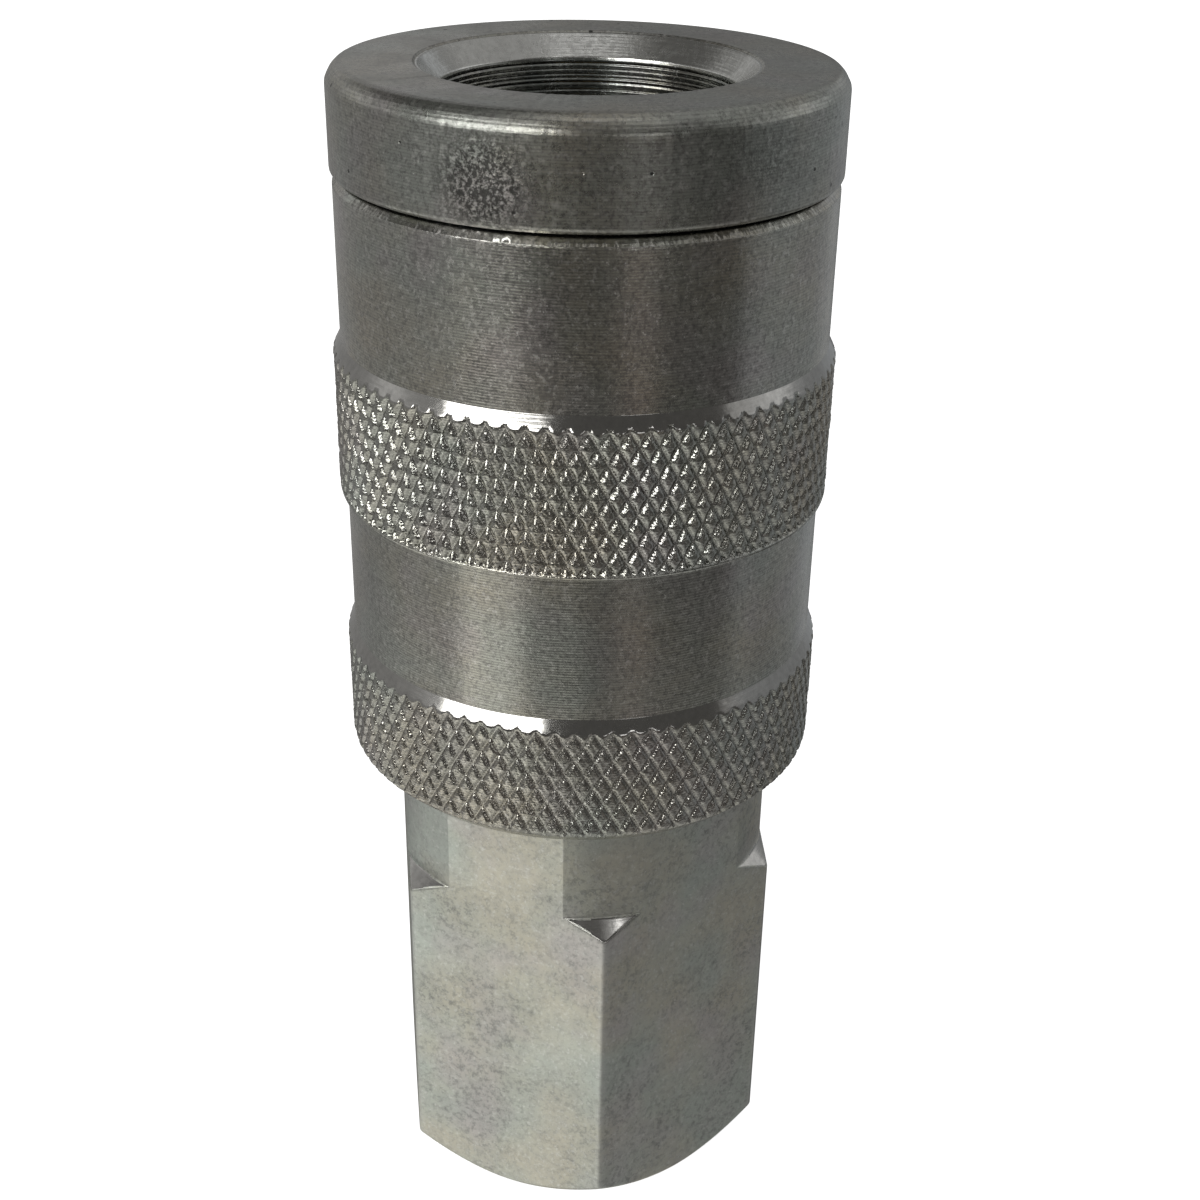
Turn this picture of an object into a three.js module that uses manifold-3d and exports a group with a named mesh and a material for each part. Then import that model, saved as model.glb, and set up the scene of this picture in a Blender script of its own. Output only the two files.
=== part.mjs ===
// Half-inch quick disconnect coupler for compressed air, with a guarded pull-back sleeve.
// Units are millimetres. The origin is the centre of the hexagon's end face, +Z runs along the
// flow axis to the mouth that takes the plug, and one corner of the hexagon points along -Y.
// Every turned outline below is a list of [radius, height] points, running anticlockwise.
import * as THREE from 'three';
import { mergeVertices } from 'three/addons/utils/BufferGeometryUtils.js';
import Module from 'manifold-3d';

const wasm = await Module();
wasm.setup();

// --- Driving dimensions -------------------------------------------------------------------------
const TOTAL_HEIGHT = 84.0;
const HEX_ACROSS_FLATS = 27.0;
const NECK_RADIUS = 14.23;
const GUARD_RADIUS = 16.7;
const SLEEVE_RADIUS = 16.55;
const KNURL_RADIUS = 17.1;
const SOCKET_RADIUS = 9.65;
const SLEEVE_TRAVEL = 6.0;
const BALL_RADIUS = 2.38;
const BALL_COUNT = 8;
const BALL_BITE = 1.2;
const BALL_TRAVEL = 1.25;
const FIT_GAP = 0.3;
const SPRING_END_GAP = 0.1;
const ROUND_SIDES = 36;
const SMALL_ROUND_SIDES = 24;
const SPRING_STEPS_PER_TURN = 14;

// Heights along the axis, from the hexagon's end face to the mouth
const PORT_DEPTH = 18.0;
const CHAMBER_FLOOR = 23.3;
const HEX_CORNER_TOP = 26.0;
const NECK_BASE = 27.25;
const BARREL_BASE = 27.3;
const SLEEVE_BASE = 35.4;
const NECK_TOP = 38.8;
const VALVE_SEAT = 46.3;
const LAND_BASE = 59.3;
const SEAL_GROOVE_BASE = 60.6;
const BALL_HEIGHT = 68.6;
const BARREL_SHOULDER = 74.5;
const SLEEVE_TOP = 77.0;
const GUARD_BASE = 77.22;
const BARREL_TOP = 79.4;
const GUARD_CHAMFER_BASE = 82.9;

// Radii that more than one part shares
const THREAD_RADIUS = 11.7;
const HEX_BORE_RADIUS = 12.0;
const BARREL_RADIUS = 12.3;
const BALL_ZONE_RADIUS = 13.1;
const CHAMBER_RADIUS = 9.6;
const SEAT_RADIUS = 7.6;
const SLEEVE_BORE_RADIUS = 14.65;
const BALL_CENTRE_RADIUS = SOCKET_RADIUS - BALL_BITE + BALL_RADIUS;
const STEM_RADIUS = 2.0;

// --- Materials ----------------------------------------------------------------------------------
const zincSteel = metal(0x6b6a64, 0.42);
const sleeveSteel = metal(0x63615b, 0.38);
const springSteel = metal(0x8f9092, 0.3);
const ballSteel = metal(0xb9bbbd, 0.12);
const brass = metal(0xb08d4f, 0.35);
const rubber = new THREE.MeshStandardMaterial({ color: 0x17181a, roughness: 0.75, metalness: 0 });
const fluoroplastic = new THREE.MeshStandardMaterial({ color: 0xe4e2da, roughness: 0.5, metalness: 0 });

function metal(color, roughness) {
  return new THREE.MeshStandardMaterial({ color, roughness, metalness: 1 });
}

// --- Shape helpers ------------------------------------------------------------------------------
// A solid turned about +Z. The outline starts and ends on the axis.
function turned(outline, sides = ROUND_SIDES) {
  const points = outline.map(([radius, height]) => new THREE.Vector2(radius, height));
  return new THREE.LatheGeometry(points, sides).rotateX(Math.PI / 2);
}

// A ring turned about +Z, whose outline closes on itself.
function turnedRing(outline, sides = ROUND_SIDES) {
  return turned([...outline, outline[0]], sides);
}

// A ring of rectangular section between two radii and two heights.
function flatRing({ inner, outer, low, high }, sides = ROUND_SIDES) {
  return turnedRing([[inner, low], [outer, low], [outer, high], [inner, high]], sides);
}

// A closed geometry as a solid that can be joined and cut. Points that coincide become one, and
// the triangles that this leaves without any area, at the poles of a turned outline, are dropped.
function solidOf(geometry) {
  const bare = geometry.clone();
  bare.deleteAttribute('normal');
  bare.deleteAttribute('uv');
  const merged = mergeVertices(bare, 1e-4);
  const corners = merged.index.array;
  const triangles = [];
  for (let i = 0; i < corners.length; i += 3) {
    const [a, b, c] = corners.slice(i, i + 3);
    if (a !== b && b !== c && c !== a) triangles.push(a, b, c);
  }
  const mesh = new wasm.Mesh({
    numProp: 3,
    vertProperties: new Float32Array(merged.attributes.position.array),
    triVerts: new Uint32Array(triangles),
  });
  return new wasm.Manifold(mesh);
}

function geometryOf(solid) {
  const mesh = solid.getMesh();
  const geometry = new THREE.BufferGeometry();
  geometry.setAttribute('position', new THREE.BufferAttribute(mesh.vertProperties, 3));
  geometry.setIndex(new THREE.BufferAttribute(mesh.triVerts, 1));
  geometry.computeVertexNormals();
  return geometry;
}

// The centre line of a coil spring with one closed turn at each end.
class SpringLine extends THREE.Curve {
  constructor(radius, low, high, turns, wireRadius) {
    super();
    this.radius = radius;
    this.low = low + wireRadius;
    this.high = high - wireRadius;
    this.turns = turns;
    this.closedRise = 2.1 * wireRadius;
  }

  getPoint(t, target = new THREE.Vector3()) {
    const turn = this.turns * t;
    const openTurns = this.turns - 2;
    const openRise = (this.high - this.low - 2 * this.closedRise) / openTurns;
    const height = this.low
      + this.closedRise * Math.min(turn, 1)
      + openRise * THREE.MathUtils.clamp(turn - 1, 0, openTurns)
      + this.closedRise * Math.max(turn - 1 - openTurns, 0);
    const angle = 2 * Math.PI * turn;
    return target.set(this.radius * Math.cos(angle), this.radius * Math.sin(angle), height);
  }
}

function spring({ radius, wireRadius, low, high, turns }) {
  const section = new THREE.Shape();
  section.absarc(0, 0, wireRadius, 0, 2 * Math.PI);
  return new THREE.ExtrudeGeometry(section, {
    curveSegments: 3,
    steps: Math.round(turns * SPRING_STEPS_PER_TURN),
    extrudePath: new SpringLine(radius, low, high, turns, wireRadius),
    bevelEnabled: false,
  });
}

// An O-ring: a round section turned about +Z.
function oRing({ radius, sectionRadius, height }) {
  return new THREE.TorusGeometry(radius, sectionRadius, 8, ROUND_SIDES).translate(0, 0, height);
}

// --- Rear half: the hexagon with its pipe port and the neck that the sleeve slides back over -----
function hexBody() {
  const endFaceRadius = 13.35;
  const pastTheCorners = 16.2;
  const chamferTop = pastTheCorners - endFaceRadius;
  const cornerRadius = HEX_ACROSS_FLATS / Math.sqrt(3);
  const shoulderSlope = (NECK_BASE - HEX_CORNER_TOP) / (cornerRadius - NECK_RADIUS);
  const shoulderBase = HEX_CORNER_TOP - shoulderSlope * (pastTheCorners - cornerRadius);
  const portMouthRadius = 10.9;
  const portTopRadius = 9.1;
  const portTaper = 1 / 32;
  const portChamfer = 1.25;
  const webBoreRadius = 7.0;
  const turnedBlank = turnedRing([
    [portMouthRadius, 0],
    [endFaceRadius, 0],
    [pastTheCorners, chamferTop],
    [pastTheCorners, shoulderBase],
    [NECK_RADIUS, NECK_BASE],
    [NECK_RADIUS, NECK_TOP],
    [HEX_BORE_RADIUS, NECK_TOP],
    [HEX_BORE_RADIUS, CHAMBER_FLOOR],
    [webBoreRadius, CHAMBER_FLOOR],
    [webBoreRadius, PORT_DEPTH],
    [portTopRadius, PORT_DEPTH],
    [portTopRadius + portTaper * (PORT_DEPTH - portChamfer), portChamfer],
  ]);
  const hexagon = new THREE.CylinderGeometry(cornerRadius, cornerRadius, NECK_TOP + 2, 6)
    .rotateX(Math.PI / 2)
    .translate(0, 0, NECK_TOP / 2);
  return geometryOf(solidOf(turnedBlank).intersect(solidOf(hexagon)));
}

// --- Front half: the socket for the plug, the ball cage, the valve seat and the valve chamber ----
function frontBarrel() {
  const noseRadius = 12.3;
  const sealGrooveRadius = 11.25;
  const sealGrooveTop = 64.2;
  const seatLipTop = 48.5;
  const oRingGroove = { radius: 10.4, low: 36.05, high: 37.95 };
  const ballZoneBase = 60.1;
  const blank = turnedRing([
    [CHAMBER_RADIUS, BARREL_BASE],
    [THREAD_RADIUS, BARREL_BASE],
    [THREAD_RADIUS, oRingGroove.low],
    [oRingGroove.radius, oRingGroove.low],
    [oRingGroove.radius, oRingGroove.high],
    [THREAD_RADIUS, oRingGroove.high],
    [THREAD_RADIUS, NECK_TOP + FIT_GAP / 2],
    [BARREL_RADIUS, NECK_TOP + FIT_GAP / 2],
    [BARREL_RADIUS, ballZoneBase - (BALL_ZONE_RADIUS - BARREL_RADIUS)],
    [BALL_ZONE_RADIUS, ballZoneBase],
    [BALL_ZONE_RADIUS, BARREL_SHOULDER],
    [noseRadius, BARREL_SHOULDER],
    [noseRadius, BARREL_TOP],
    [SOCKET_RADIUS, BARREL_TOP],
    [SOCKET_RADIUS, sealGrooveTop],
    [sealGrooveRadius, sealGrooveTop],
    [sealGrooveRadius, SEAL_GROOVE_BASE],
    [SOCKET_RADIUS, SEAL_GROOVE_BASE],
    [SOCKET_RADIUS, seatLipTop],
    [SEAT_RADIUS, seatLipTop],
    [SEAT_RADIUS, VALVE_SEAT],
    [CHAMBER_RADIUS, VALVE_SEAT],
  ]);
  let barrel = solidOf(blank);
  for (let i = 0; i < BALL_COUNT; i += 1) {
    barrel = barrel.subtract(solidOf(ballHole(ballAngle(i))));
  }
  return geometryOf(barrel);
}

// A ball hole, narrower at the socket so that the ball can't drop in.
function ballHole(angle) {
  const lipRadius = 2.22;
  const holeRadius = 2.6;
  const innerEnd = SOCKET_RADIUS - 0.85;
  const outerEnd = BALL_ZONE_RADIUS + 0.9;
  const seatStart = 9.75;
  const seatEnd = 10.35;
  const sides = 16;
  return turned([
    [0, innerEnd],
    [lipRadius, innerEnd],
    [lipRadius, seatStart],
    [holeRadius, seatEnd],
    [holeRadius, outerEnd],
    [0, outerEnd],
  ], sides)
    .rotateY(Math.PI / 2)
    .rotateZ(angle)
    .translate(0, 0, BALL_HEIGHT);
}

function ballAngle(index) {
  return ((index + 0.5) * 2 * Math.PI) / BALL_COUNT;
}

// --- Fixed nose ring, which keeps a dragged hose from pulling the sleeve back --------------------
function guardRing() {
  const topFaceRadius = 16.0;
  const skirtRadius = 14.3;
  const skirtBase = BARREL_SHOULDER + FIT_GAP;
  const threadBoreRadius = 12.6;
  const mouthRadius = 10.95;
  const countersinkDepth = 1.55;
  const lowerEdgeBreak = 0.3;
  return turnedRing([
    [threadBoreRadius, skirtBase],
    [skirtRadius, skirtBase],
    [skirtRadius, GUARD_BASE],
    [GUARD_RADIUS - lowerEdgeBreak, GUARD_BASE],
    [GUARD_RADIUS, GUARD_BASE + lowerEdgeBreak],
    [GUARD_RADIUS, GUARD_CHAMFER_BASE],
    [topFaceRadius, TOTAL_HEIGHT],
    [mouthRadius, TOTAL_HEIGHT],
    [SOCKET_RADIUS, TOTAL_HEIGHT - countersinkDepth],
    [SOCKET_RADIUS, BARREL_TOP + FIT_GAP],
    [threadBoreRadius, BARREL_TOP + FIT_GAP],
  ]);
}

// --- Sleeve: two knurled grips outside, the ball land and the release ramp inside ----------------
// The ramp clears a ball that moves out steadily over the whole of the sleeve's travel.
function releaseSleeve() {
  const edgeRadius = 16.2;
  const topEdgeRadius = 16.1;
  const lowerGrip = { low: 36.3, high: 44.55 };
  const upperGrip = { low: 55.5, high: 65.75 };
  const gripChamfer = KNURL_RADIUS - SLEEVE_RADIUS;
  const landRadius = 13.35;
  const rampSlope = BALL_TRAVEL / SLEEVE_TRAVEL;
  const rampLead = 0.3;
  const rampStart = BALL_HEIGHT - rampLead;
  const rampEnd = rampStart + (SLEEVE_BORE_RADIUS - landRadius) / rampSlope;
  return turnedRing([
    [SLEEVE_BORE_RADIUS, SLEEVE_BASE],
    [edgeRadius, SLEEVE_BASE],
    [KNURL_RADIUS, lowerGrip.low],
    [KNURL_RADIUS, lowerGrip.high],
    [SLEEVE_RADIUS, lowerGrip.high + gripChamfer],
    [SLEEVE_RADIUS, upperGrip.low],
    [KNURL_RADIUS, upperGrip.low],
    [KNURL_RADIUS, upperGrip.high],
    [SLEEVE_RADIUS, upperGrip.high + gripChamfer],
    [SLEEVE_RADIUS, SLEEVE_TOP - (SLEEVE_RADIUS - topEdgeRadius)],
    [topEdgeRadius, SLEEVE_TOP],
    [SLEEVE_BORE_RADIUS, SLEEVE_TOP],
    [SLEEVE_BORE_RADIUS, rampEnd],
    [landRadius, rampStart],
    [landRadius, LAND_BASE],
    [SLEEVE_BORE_RADIUS, LAND_BASE],
  ]);
}

const thrustWasher = { inner: 12.55, outer: 14.4, low: 58.35, high: 59.1 };

function sleeveSpring() {
  return spring({
    radius: 13.5,
    wireRadius: 0.75,
    low: NECK_TOP + SPRING_END_GAP,
    high: thrustWasher.low - SPRING_END_GAP,
    turns: 6.5,
  });
}

// --- Valve: the poppet that the plug pushes back, its face seal, its spring and its guide --------
const poppetHead = { radius: 8.9, low: 41.4, high: 44.7 };

function valvePoppet() {
  const tube = { inner: 5.9, outer: 7.3, floor: 45.8, high: 54.8 };
  const stemBase = 25.3;
  const body = turned([
    [0, stemBase],
    [STEM_RADIUS, stemBase],
    [STEM_RADIUS, poppetHead.low],
    [poppetHead.radius, poppetHead.low],
    [poppetHead.radius, poppetHead.high],
    [tube.outer, poppetHead.high],
    [tube.outer, tube.high],
    [tube.inner, tube.high],
    [tube.inner, tube.floor],
    [0, tube.floor],
  ], SMALL_ROUND_SIDES);
  const slotLength = 2 * SEAT_RADIUS + 1;
  const windowWidth = 5.0;
  const windowHeight = 4.2;
  const windowMiddle = 49.7;
  const slot = new THREE.BoxGeometry(slotLength, windowWidth, windowHeight).translate(0, 0, windowMiddle);
  const crossSlot = slot.clone().rotateZ(Math.PI / 2);
  return geometryOf(solidOf(body).subtract(solidOf(slot)).subtract(solidOf(crossSlot)));
}

function valveSpring() {
  return spring({
    radius: 5.3,
    wireRadius: 0.5,
    low: valveGuideSize.high + SPRING_END_GAP,
    high: poppetHead.low - SPRING_END_GAP,
    turns: 6,
  });
}

const valveGuideSize = { inner: 9.3, outer: THREAD_RADIUS, low: CHAMBER_FLOOR + 0.15, high: 27.0 };

// A ring with three spokes that carry a bush for the poppet's stem
function valveGuide() {
  const hubRadius = 3.6;
  const boreRadius = STEM_RADIUS + FIT_GAP;
  const spokeCount = 3;
  const spokeWidth = 2.4;
  const spokeStart = boreRadius + FIT_GAP;
  const { inner, outer, low, high } = valveGuideSize;
  const hub = { inner: boreRadius, outer: hubRadius, low, high };
  const reach = (inner + outer) / 2 - spokeStart;
  let guide = solidOf(flatRing(valveGuideSize)).add(solidOf(flatRing(hub, SMALL_ROUND_SIDES)));
  for (let i = 0; i < spokeCount; i += 1) {
    const spoke = new THREE.BoxGeometry(reach, spokeWidth, high - low)
      .translate(spokeStart + reach / 2, 0, (low + high) / 2)
      .rotateZ((i * 2 * Math.PI) / spokeCount);
    guide = guide.add(solidOf(spoke));
  }
  return geometryOf(guide);
}

// --- Seals -------------------------------------------------------------------------------------
const plugSeal = { inner: 9.25, outer: 11.1, low: SEAL_GROOVE_BASE + 0.2, high: 63.0 };
const backupWasher = { inner: 9.8, outer: 11.1, low: 63.15, high: 64.0 };
const valveFaceSeal = { inner: 7.45, outer: 8.85, low: 44.85, high: VALVE_SEAT - 0.15 };
const bodyORing = { radius: 11.22, sectionRadius: 0.72, height: 37.0 };

// --- Assembly -----------------------------------------------------------------------------------
const coupler = new THREE.Group();

function addPart(name, geometry, material) {
  const mesh = new THREE.Mesh(geometry, material);
  mesh.name = name;
  coupler.add(mesh);
  return mesh;
}

addPart('hex_body', hexBody(), zincSteel);
addPart('front_barrel', frontBarrel(), zincSteel);
addPart('guard_ring', guardRing(), zincSteel);
addPart('release_sleeve', releaseSleeve(), sleeveSteel);
addPart('sleeve_spring', sleeveSpring(), springSteel);
addPart('spring_thrust_washer', flatRing(thrustWasher), springSteel);

for (let i = 0; i < BALL_COUNT; i += 1) {
  const ball = addPart(`locking_ball_${i + 1}`, new THREE.SphereGeometry(BALL_RADIUS, 10, 8), ballSteel);
  const angle = ballAngle(i);
  ball.position.set(
    BALL_CENTRE_RADIUS * Math.cos(angle),
    BALL_CENTRE_RADIUS * Math.sin(angle),
    BALL_HEIGHT,
  );
}

addPart('plug_seal', flatRing(plugSeal), rubber);
addPart('seal_backup_washer', flatRing(backupWasher), fluoroplastic);
addPart('valve_poppet', valvePoppet(), brass);
addPart('valve_face_seal', flatRing(valveFaceSeal, SMALL_ROUND_SIDES), rubber);
addPart('valve_spring', valveSpring(), springSteel);
addPart('valve_guide', valveGuide(), brass);
addPart('body_o_ring', oRing(bodyORing), rubber);

export default coupler;
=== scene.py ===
"""Looks of the quick disconnect coupler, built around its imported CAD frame.

Outlines are lists of (radius, height) in millimetres, running anticlockwise from the bottom. The axis
is +Z, azimuth is measured from -Y towards +X, and make_mesh() turns millimetres into metres.
"""
import math

import bmesh
import bpy
import numpy as np
from mathutils import Matrix, Vector


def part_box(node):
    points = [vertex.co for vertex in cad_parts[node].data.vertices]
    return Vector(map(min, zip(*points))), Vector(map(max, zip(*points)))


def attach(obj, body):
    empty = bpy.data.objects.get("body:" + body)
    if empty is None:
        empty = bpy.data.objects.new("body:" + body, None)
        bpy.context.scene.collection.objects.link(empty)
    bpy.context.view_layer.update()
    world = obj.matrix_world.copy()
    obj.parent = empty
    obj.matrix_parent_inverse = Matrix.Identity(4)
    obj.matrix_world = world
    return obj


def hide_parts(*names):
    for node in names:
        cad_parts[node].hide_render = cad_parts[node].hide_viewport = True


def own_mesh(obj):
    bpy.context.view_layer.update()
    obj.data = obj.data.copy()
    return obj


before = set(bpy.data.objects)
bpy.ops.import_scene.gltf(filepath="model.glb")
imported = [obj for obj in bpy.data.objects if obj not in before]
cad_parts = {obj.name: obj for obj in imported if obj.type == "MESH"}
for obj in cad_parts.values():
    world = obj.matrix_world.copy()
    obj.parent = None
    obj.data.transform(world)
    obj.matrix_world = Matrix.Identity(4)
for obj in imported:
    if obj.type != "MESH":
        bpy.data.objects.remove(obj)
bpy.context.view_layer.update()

MM = 0.001


# --- Dimensions read from the frame, in millimetres ----------------------------------------------
def cad_box(node):
    low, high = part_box(node)
    return low / MM, high / MM


HEX_HIGH = cad_box("hex_body")[1]
BARREL_LOW, BARREL_HIGH = cad_box("front_barrel")
GUARD_LOW, GUARD_HIGH = cad_box("guard_ring")
SLEEVE_LOW, SLEEVE_HIGH = cad_box("release_sleeve")
POPPET_LOW, POPPET_HIGH = cad_box("valve_poppet")
GUIDE_LOW, GUIDE_HIGH = cad_box("valve_guide")

HEX_APOTHEM = HEX_HIGH.x
NECK_TOP = HEX_HIGH.z
GUARD_RADIUS = GUARD_HIGH.x
KNURL_RADIUS = SLEEVE_HIGH.x
SLEEVE_BASE = SLEEVE_LOW.z
SLEEVE_TOP = SLEEVE_HIGH.z
MOUTH_TOP = GUARD_HIGH.z

# Radii that more than one piece shares, in millimetres
NECK_RADIUS = 14.23
SLEEVE_RADIUS = 16.55
SLEEVE_BORE = 14.65
SOCKET_RADIUS = 9.65

# A rounded corner is a curve of some points, with a supporting point on each side of it
CORNER_STEPS = 4
ROWS_PER_CORNER = CORNER_STEPS + 2


# --- Mesh helpers --------------------------------------------------------------------------------
def make_mesh(name, points, faces):
    mesh = bpy.data.meshes.new(name)
    mesh.from_pydata((np.asarray(points) * MM).tolist(), [], faces)
    mesh.validate()
    mesh.update()
    mesh.shade_smooth()
    piece = bpy.data.objects.new(name, mesh)
    bpy.context.scene.collection.objects.link(piece)
    return piece


def softened(outline, setback=0.12):
    """A closed outline with each corner rounded over a setback, between two supporting points.

    outline is an array (points, ..., 2), so every column of a skin can be rounded at once.
    """
    outline = np.asarray(outline, float)
    before = np.roll(outline, 1, axis=0)
    after = np.roll(outline, -1, axis=0)
    to_before = before - outline
    to_after = after - outline
    length_before = np.linalg.norm(to_before, axis=-1, keepdims=True)
    length_after = np.linalg.norm(to_after, axis=-1, keepdims=True)
    reach = np.minimum(setback, 0.3 * np.minimum(length_before, length_after))
    start = outline + to_before / length_before * reach
    end = outline + to_after / length_after * reach
    rows = [outline + to_before / length_before * reach * 1.5]
    for t in np.linspace(0, 1, CORNER_STEPS):
        rows.append((1 - t) ** 2 * start + 2 * t * (1 - t) * outline + t ** 2 * end)
    rows.append(outline + to_after / length_after * reach * 1.5)
    rounded = np.stack(rows, axis=1)
    return rounded.reshape((-1,) + outline.shape[1:])


def softened_open(outline, setback):
    """As softened(), for an outline that doesn't close: its first and last points stay as they are."""
    outline = np.asarray(outline, float)
    rounded = softened(outline, setback)[ROWS_PER_CORNER:-ROWS_PER_CORNER]
    return np.vstack([outline[:1], rounded, outline[-1:]])


def skin(name, radii, heights, angles, split_low=False):
    """A turned skin that closes both ways round. radii and heights are arrays (rows, columns).

    With split_low, each quad is cut along the diagonal that lies nearer to the axis.
    """
    rows, columns = radii.shape
    x = radii * np.sin(angles)
    y = -radii * np.cos(angles)
    points = np.stack([x, y, heights], axis=-1).reshape(-1, 3)
    i, j = np.meshgrid(np.arange(rows), np.arange(columns), indexing="ij")
    up, along = (i + 1) % rows, (j + 1) % columns
    a, b, c, d = (i * columns + j, i * columns + along, up * columns + along, up * columns + j)
    if not split_low:
        faces = np.stack([a, b, c, d], axis=-1).reshape(-1, 4)
        return make_mesh(name, points, faces.tolist())
    r = radii.ravel()
    cut_a_to_c = (r[a] + r[c] <= r[b] + r[d])[..., None]
    first = np.where(cut_a_to_c, np.stack([a, b, c], -1), np.stack([a, b, d], -1))
    second = np.where(cut_a_to_c, np.stack([a, c, d], -1), np.stack([b, c, d], -1))
    faces = np.concatenate([first.reshape(-1, 3), second.reshape(-1, 3)])
    return make_mesh(name, points, faces.tolist())


def wobble(columns, seed, width):
    """A smooth random value for every column, about -1 to 1, that wraps round the circle."""
    values = np.random.default_rng(seed).normal(size=columns)
    kernel = np.hanning(width + 2)
    spread = np.fft.ifft(np.fft.fft(values) * np.fft.fft(kernel, columns)).real
    return spread / spread.std() * 0.5


def turned(name, outline, columns=192, setback=0.12, ragged=0.0, ragged_corners=(), seed=1):
    """A ring turned from an outline that closes on itself, with some corners ragged by up to a distance."""
    outline = np.asarray(outline, float)
    angles = np.linspace(0, 2 * math.pi, columns, endpoint=False)
    corners = np.repeat(outline[:, None, :], columns, axis=1)
    for index in ragged_corners:
        corners[index, :, 0] -= ragged * np.abs(wobble(columns, seed + index, 3))
        corners[index, :, 1] -= ragged * np.abs(wobble(columns, seed + index + 50, 3))
    rows = softened(corners, setback)
    return skin(name, rows[..., 0], rows[..., 1], angles)


def turned_plug(name, outline, columns=96, setback=0.12):
    """A solid turned from an outline whose first and last points lie on the axis."""
    outline = np.asarray(outline, float)
    rows = softened_open(outline, setback)[1:-1]
    angles = np.linspace(0, 2 * math.pi, columns, endpoint=False)
    ring = np.stack([
        rows[:, :1] * np.sin(angles),
        -rows[:, :1] * np.cos(angles),
        np.repeat(rows[:, 1:], columns, axis=1),
    ], axis=-1).reshape(-1, 3)
    points = np.vstack([ring, [[0, 0, outline[0, 1]], [0, 0, outline[-1, 1]]]])
    bottom, top = len(ring), len(ring) + 1
    faces = []
    for i in range(len(rows) - 1):
        for j in range(columns):
            k = (j + 1) % columns
            faces.append([i * columns + j, i * columns + k, (i + 1) * columns + k, (i + 1) * columns + j])
    last = (len(rows) - 1) * columns
    for j in range(columns):
        k = (j + 1) % columns
        faces.append([bottom, k, j])
        faces.append([top, last + j, last + k])
    return make_mesh(name, points, faces)


def boolean(piece, other, operation):
    """Cuts or joins another mesh into the piece, and removes the other."""
    modifier = piece.modifiers.new("boolean", "BOOLEAN")
    modifier.operation = operation
    modifier.solver = "EXACT"
    modifier.object = other
    depsgraph = bpy.context.evaluated_depsgraph_get()
    mesh = bpy.data.meshes.new_from_object(piece.evaluated_get(depsgraph))
    piece.modifiers.clear()
    piece.data = mesh
    bpy.data.objects.remove(other)


def sharpen_by_angle(piece, degrees=35):
    """Keeps cut edges crisp where a mesh came out of a boolean."""
    mesh = bmesh.new()
    mesh.from_mesh(piece.data)
    for edge in mesh.edges:
        if len(edge.link_faces) == 2 and edge.calc_face_angle(0) > math.radians(degrees):
            edge.smooth = False
    mesh.to_mesh(piece.data)
    mesh.free()


def coil(name, radius, wire_radius, low, high, turns, steps=40, sides=14):
    """A coil spring between two heights, with one closed turn and a capped end at each of them."""
    low += wire_radius
    high -= wire_radius
    closed_rise = 2.1 * wire_radius
    open_turns = turns - 2
    open_rise = (high - low - 2 * closed_rise) / open_turns
    turn = np.linspace(0, turns, int(turns * steps) + 1)
    height = (low + closed_rise * np.minimum(turn, 1) + open_rise * np.clip(turn - 1, 0, open_turns)
              + closed_rise * np.maximum(turn - 1 - open_turns, 0))
    angle = 2 * math.pi * turn
    section = np.linspace(0, 2 * math.pi, sides, endpoint=False)
    reach = radius + wire_radius * np.cos(section)[None, :]
    points = np.stack([
        reach * np.cos(angle)[:, None],
        reach * np.sin(angle)[:, None],
        height[:, None] + wire_radius * np.sin(section)[None, :],
    ], axis=-1).reshape(-1, 3)
    faces = []
    for i in range(len(turn) - 1):
        for j in range(sides):
            k = (j + 1) % sides
            faces.append([i * sides + j, (i + 1) * sides + j, (i + 1) * sides + k, i * sides + k])
    faces.append(list(range(sides)))
    faces.append([(len(turn) - 1) * sides + j for j in reversed(range(sides))])
    return make_mesh(name, points, faces)


# --- Materials -----------------------------------------------------------------------------------
class Graph:
    """A node tree. Most calls add a node, set or link its inputs, and give back its output."""

    def __init__(self, tree):
        self.tree = tree

    def feed(self, socket, value):
        if isinstance(value, bpy.types.NodeSocket):
            self.tree.links.new(value, socket)
        else:
            socket.default_value = value

    def add(self, kind, inputs=None, **settings):
        """The new node itself, for the nodes that have more than one output."""
        node = self.tree.nodes.new(kind)
        for key, value in settings.items():
            setattr(node, key, value)
        for key, value in (inputs or {}).items():
            self.feed(node.inputs[key], value)
        return node

    def math(self, operation, *values):
        return self.add("ShaderNodeMath", dict(enumerate(values)), operation=operation).outputs[0]

    def vector(self, operation, *values):
        """Vector maths. A dot product and a distance come out as a number."""
        node = self.add("ShaderNodeVectorMath", dict(enumerate(values)), operation=operation)
        return node.outputs["Value" if operation in ("DOT_PRODUCT", "DISTANCE") else "Vector"]

    def remap(self, value, low, high, to_low=0.0, to_high=1.0, curve="LINEAR"):
        inputs = {0: value, 1: low, 2: high, 3: to_low, 4: to_high}
        return self.add("ShaderNodeMapRange", inputs, interpolation_type=curve).outputs[0]

    def mix(self, factor, a, b):
        """From colour a to colour b. A colour is a socket or three channels."""
        inputs = {0: factor}
        for socket, colour in ((6, a), (7, b)):
            inputs[socket] = (*colour, 1) if isinstance(colour, tuple) else colour
        return self.add("ShaderNodeMix", inputs, data_type="RGBA").outputs[2]


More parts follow.
